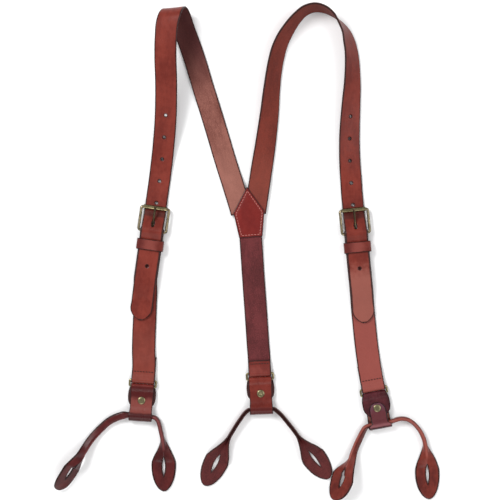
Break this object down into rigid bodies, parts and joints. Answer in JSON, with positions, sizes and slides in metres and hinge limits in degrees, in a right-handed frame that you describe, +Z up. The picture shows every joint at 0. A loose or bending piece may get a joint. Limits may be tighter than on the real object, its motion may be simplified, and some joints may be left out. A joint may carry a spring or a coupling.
{
  "type": "suspenders",
  "caption": "Leather Y-back suspenders with roller buckles, wire rings, riveted end tabs and button straps, laid flat with the shoulder loops standing.",
  "frame": {"origin": "middle of the yoke, on the surface the suspenders lie on", "axes": "+X to the right as laid out, +Y from the yoke up towards the shoulder loops, +Z up from the surface"},
  "size_m": [0.4409, 0.5677, 0.0361],
  "materials": {
    "buckle_brass": "antique, brushed",
    "roller_brass": "antique, worn",
    "ring_brass": "antique",
    "rivet_brass": "antique, burnished",
    "pink_thread": "waxed thread",
    "dark_thread": "waxed thread",
    "yoke_leather": "smooth, oiled",
    "back_leather": "flesh side, burnished",
    "keeper_leather": "smooth",
    "tab_leather": "smooth, oiled",
    "button_leather": "smooth, oiled",
    "front_leather": "smooth, oiled, burnished edges",
    "shoulder_leather": "smooth grain side, matt flesh side, burnished edges"
  },
  "bodies": {
    "harness": {"left_shoulder_strap": "shoulder_leather", "right_shoulder_strap": "shoulder_leather", "back_strap": "back_leather", "yoke_outer_patch": "yoke_leather", "yoke_inner_patch": "yoke_leather", "yoke_stitching": "pink_thread", "left_front_strap": "front_leather", "right_front_strap": "front_leather", "left_ring_stitching": "dark_thread", "right_ring_stitching": "dark_thread", "back_ring_stitching": "dark_thread", "left_buckle_stitching": "dark_thread", "right_buckle_stitching": "dark_thread"},
    "left_buckle": {"left_buckle_frame": "buckle_brass"},
    "left_roller": {"left_buckle_roller": "roller_brass"},
    "left_prong": {"left_buckle_prong": "buckle_brass"},
    "left_keeper": {"left_keeper": "keeper_leather"},
    "right_buckle": {"right_buckle_frame": "buckle_brass"},
    "right_roller": {"right_buckle_roller": "roller_brass"},
    "right_prong": {"right_buckle_prong": "buckle_brass"},
    "right_keeper": {"right_keeper": "keeper_leather"},
    "left_ring": {"left_ring": "ring_brass"},
    "left_tab": {"left_end_tab": "tab_leather", "left_rivet_cap": "rivet_brass", "left_rivet_post": "rivet_brass"},
    "left_button_strap": {"left_button_strap": "button_leather"},
    "right_ring": {"right_ring": "ring_brass"},
    "right_tab": {"right_end_tab": "tab_leather", "right_rivet_cap": "rivet_brass", "right_rivet_post": "rivet_brass"},
    "right_button_strap": {"right_button_strap": "button_leather"},
    "back_ring": {"back_ring": "ring_brass"},
    "back_tab": {"back_end_tab": "tab_leather", "back_rivet_cap": "rivet_brass", "back_rivet_post": "rivet_brass"},
    "back_button_strap": {"back_button_strap": "button_leather"}
  },
  "joints": [
    {"name": "left_buckle_lift", "type": "hinge", "parent": "harness", "child": "left_buckle", "pos_m": [-0.111, -0.021, 0.0058], "axis": [0.9903, -0.1392, 0], "range_deg": [0, 8]},
    {"name": "left_roller_spin", "type": "hinge", "parent": "left_buckle", "child": "left_roller", "pos_m": [-0.10724, 0.00573, 0.005], "axis": [0.9903, -0.1392, 0], "continuous": true},
    {"name": "left_prong_lift", "type": "hinge", "parent": "left_buckle", "child": "left_prong", "pos_m": [-0.111, -0.021, 0.0058], "axis": [0.9903, -0.1392, 0], "range_deg": [0, 6]},
    {"name": "left_keeper_slide", "type": "slide", "parent": "harness", "child": "left_keeper", "axis": [-0.1392, -0.9903, 0], "range_m": [-0.0012, 0.02]},
    {"name": "right_buckle_lift", "type": "hinge", "parent": "harness", "child": "right_buckle", "pos_m": [0.1226, -0.0235, 0.0058], "axis": [0.9954, 0.0958, 0], "range_deg": [0, 8]},
    {"name": "right_roller_spin", "type": "hinge", "parent": "right_buckle", "child": "right_roller", "pos_m": [0.12001, 0.00336, 0.005], "axis": [0.9954, 0.0958, 0], "continuous": true},
    {"name": "right_prong_lift", "type": "hinge", "parent": "right_buckle", "child": "right_prong", "pos_m": [0.1226, -0.0235, 0.0058], "axis": [0.9954, 0.0958, 0], "range_deg": [0, 6]},
    {"name": "right_keeper_slide", "type": "slide", "parent": "harness", "child": "right_keeper", "axis": [0.0958, -0.9954, 0], "range_m": [-0.0012, 0.02]},
    {"name": "left_ring_turn", "type": "hinge", "parent": "harness", "child": "left_ring", "pos_m": [-0.1215, -0.192, 0.0035], "axis": [0.9976, -0.0698, 0], "range_deg": [-60, 60]},
    {"name": "left_tab_turn", "type": "hinge", "parent": "left_ring", "child": "left_tab", "pos_m": [-0.122, -0.19918, 0.0035], "axis": [0.9976, -0.0698, 0], "range_deg": [-60, 60]},
    {"name": "left_button_strap_swing", "type": "hinge", "parent": "left_tab", "child": "left_button_strap", "pos_m": [-0.12437, -0.23302, 0.00586], "axis": [0.9976, -0.0698, 0], "range_deg": [-25, 25]},
    {"name": "right_ring_turn", "type": "hinge", "parent": "harness", "child": "right_ring", "pos_m": [0.1425, -0.201, 0.0035], "axis": [0.9833, 0.1822, 0], "range_deg": [-60, 60]},
    {"name": "right_tab_turn", "type": "hinge", "parent": "right_ring", "child": "right_tab", "pos_m": [0.14381, -0.20808, 0.0035], "axis": [0.9833, 0.1822, 0], "range_deg": [-60, 60]},
    {"name": "right_button_strap_swing", "type": "hinge", "parent": "right_tab", "child": "right_button_strap", "pos_m": [0.14999, -0.24143, 0.00586], "axis": [0.9833, 0.1822, 0], "range_deg": [-25, 25]},
    {"name": "back_ring_turn", "type": "hinge", "parent": "harness", "child": "back_ring", "pos_m": [0.0124, -0.184, 0.0035], "axis": [0.999, 0.0436, 0], "range_deg": [-60, 60]},
    {"name": "back_tab_turn", "type": "hinge", "parent": "back_ring", "child": "back_tab", "pos_m": [0.01271, -0.19119, 0.0035], "axis": [0.999, 0.0436, 0], "range_deg": [-60, 60]},
    {"name": "back_button_strap_swing", "type": "hinge", "parent": "back_tab", "child": "back_button_strap", "pos_m": [0.01419, -0.22508, 0.00586], "axis": [0.999, 0.0436, 0], "range_deg": [-25, 25]}
  ]
}
